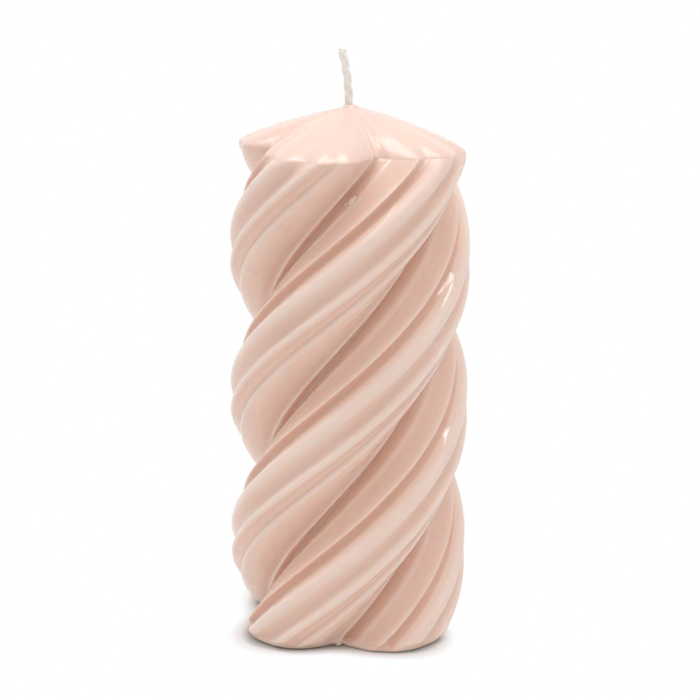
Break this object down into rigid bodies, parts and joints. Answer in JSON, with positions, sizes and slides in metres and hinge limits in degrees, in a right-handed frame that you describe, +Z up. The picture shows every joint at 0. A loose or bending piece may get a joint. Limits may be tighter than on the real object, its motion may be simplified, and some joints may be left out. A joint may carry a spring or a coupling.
{
  "type": "twisted pillar candle",
  "caption": "Twisted pillar candle of glossy wax: fluted strands climb to the right under a shallow fluted dome, with a cotton wick held by a metal sustainer in the base.",
  "frame": {"origin": "middle of the base, on the surface that the candle stands on", "axes": "+Z up along the candle's axis, -Y towards the picture's camera, +X to the right in the picture"},
  "size_m": [0.07, 0.07, 0.1726],
  "materials": {
    "wax": "glossy blush pink wax, slightly translucent",
    "cotton": "braided cotton primed with wax, cream",
    "tinplate": "stamped tinplate"
  },
  "bodies": {
    "root": {"wax_body": "wax", "wick": "cotton", "wick_sustainer": "tinplate"}
  },
  "joints": []
}
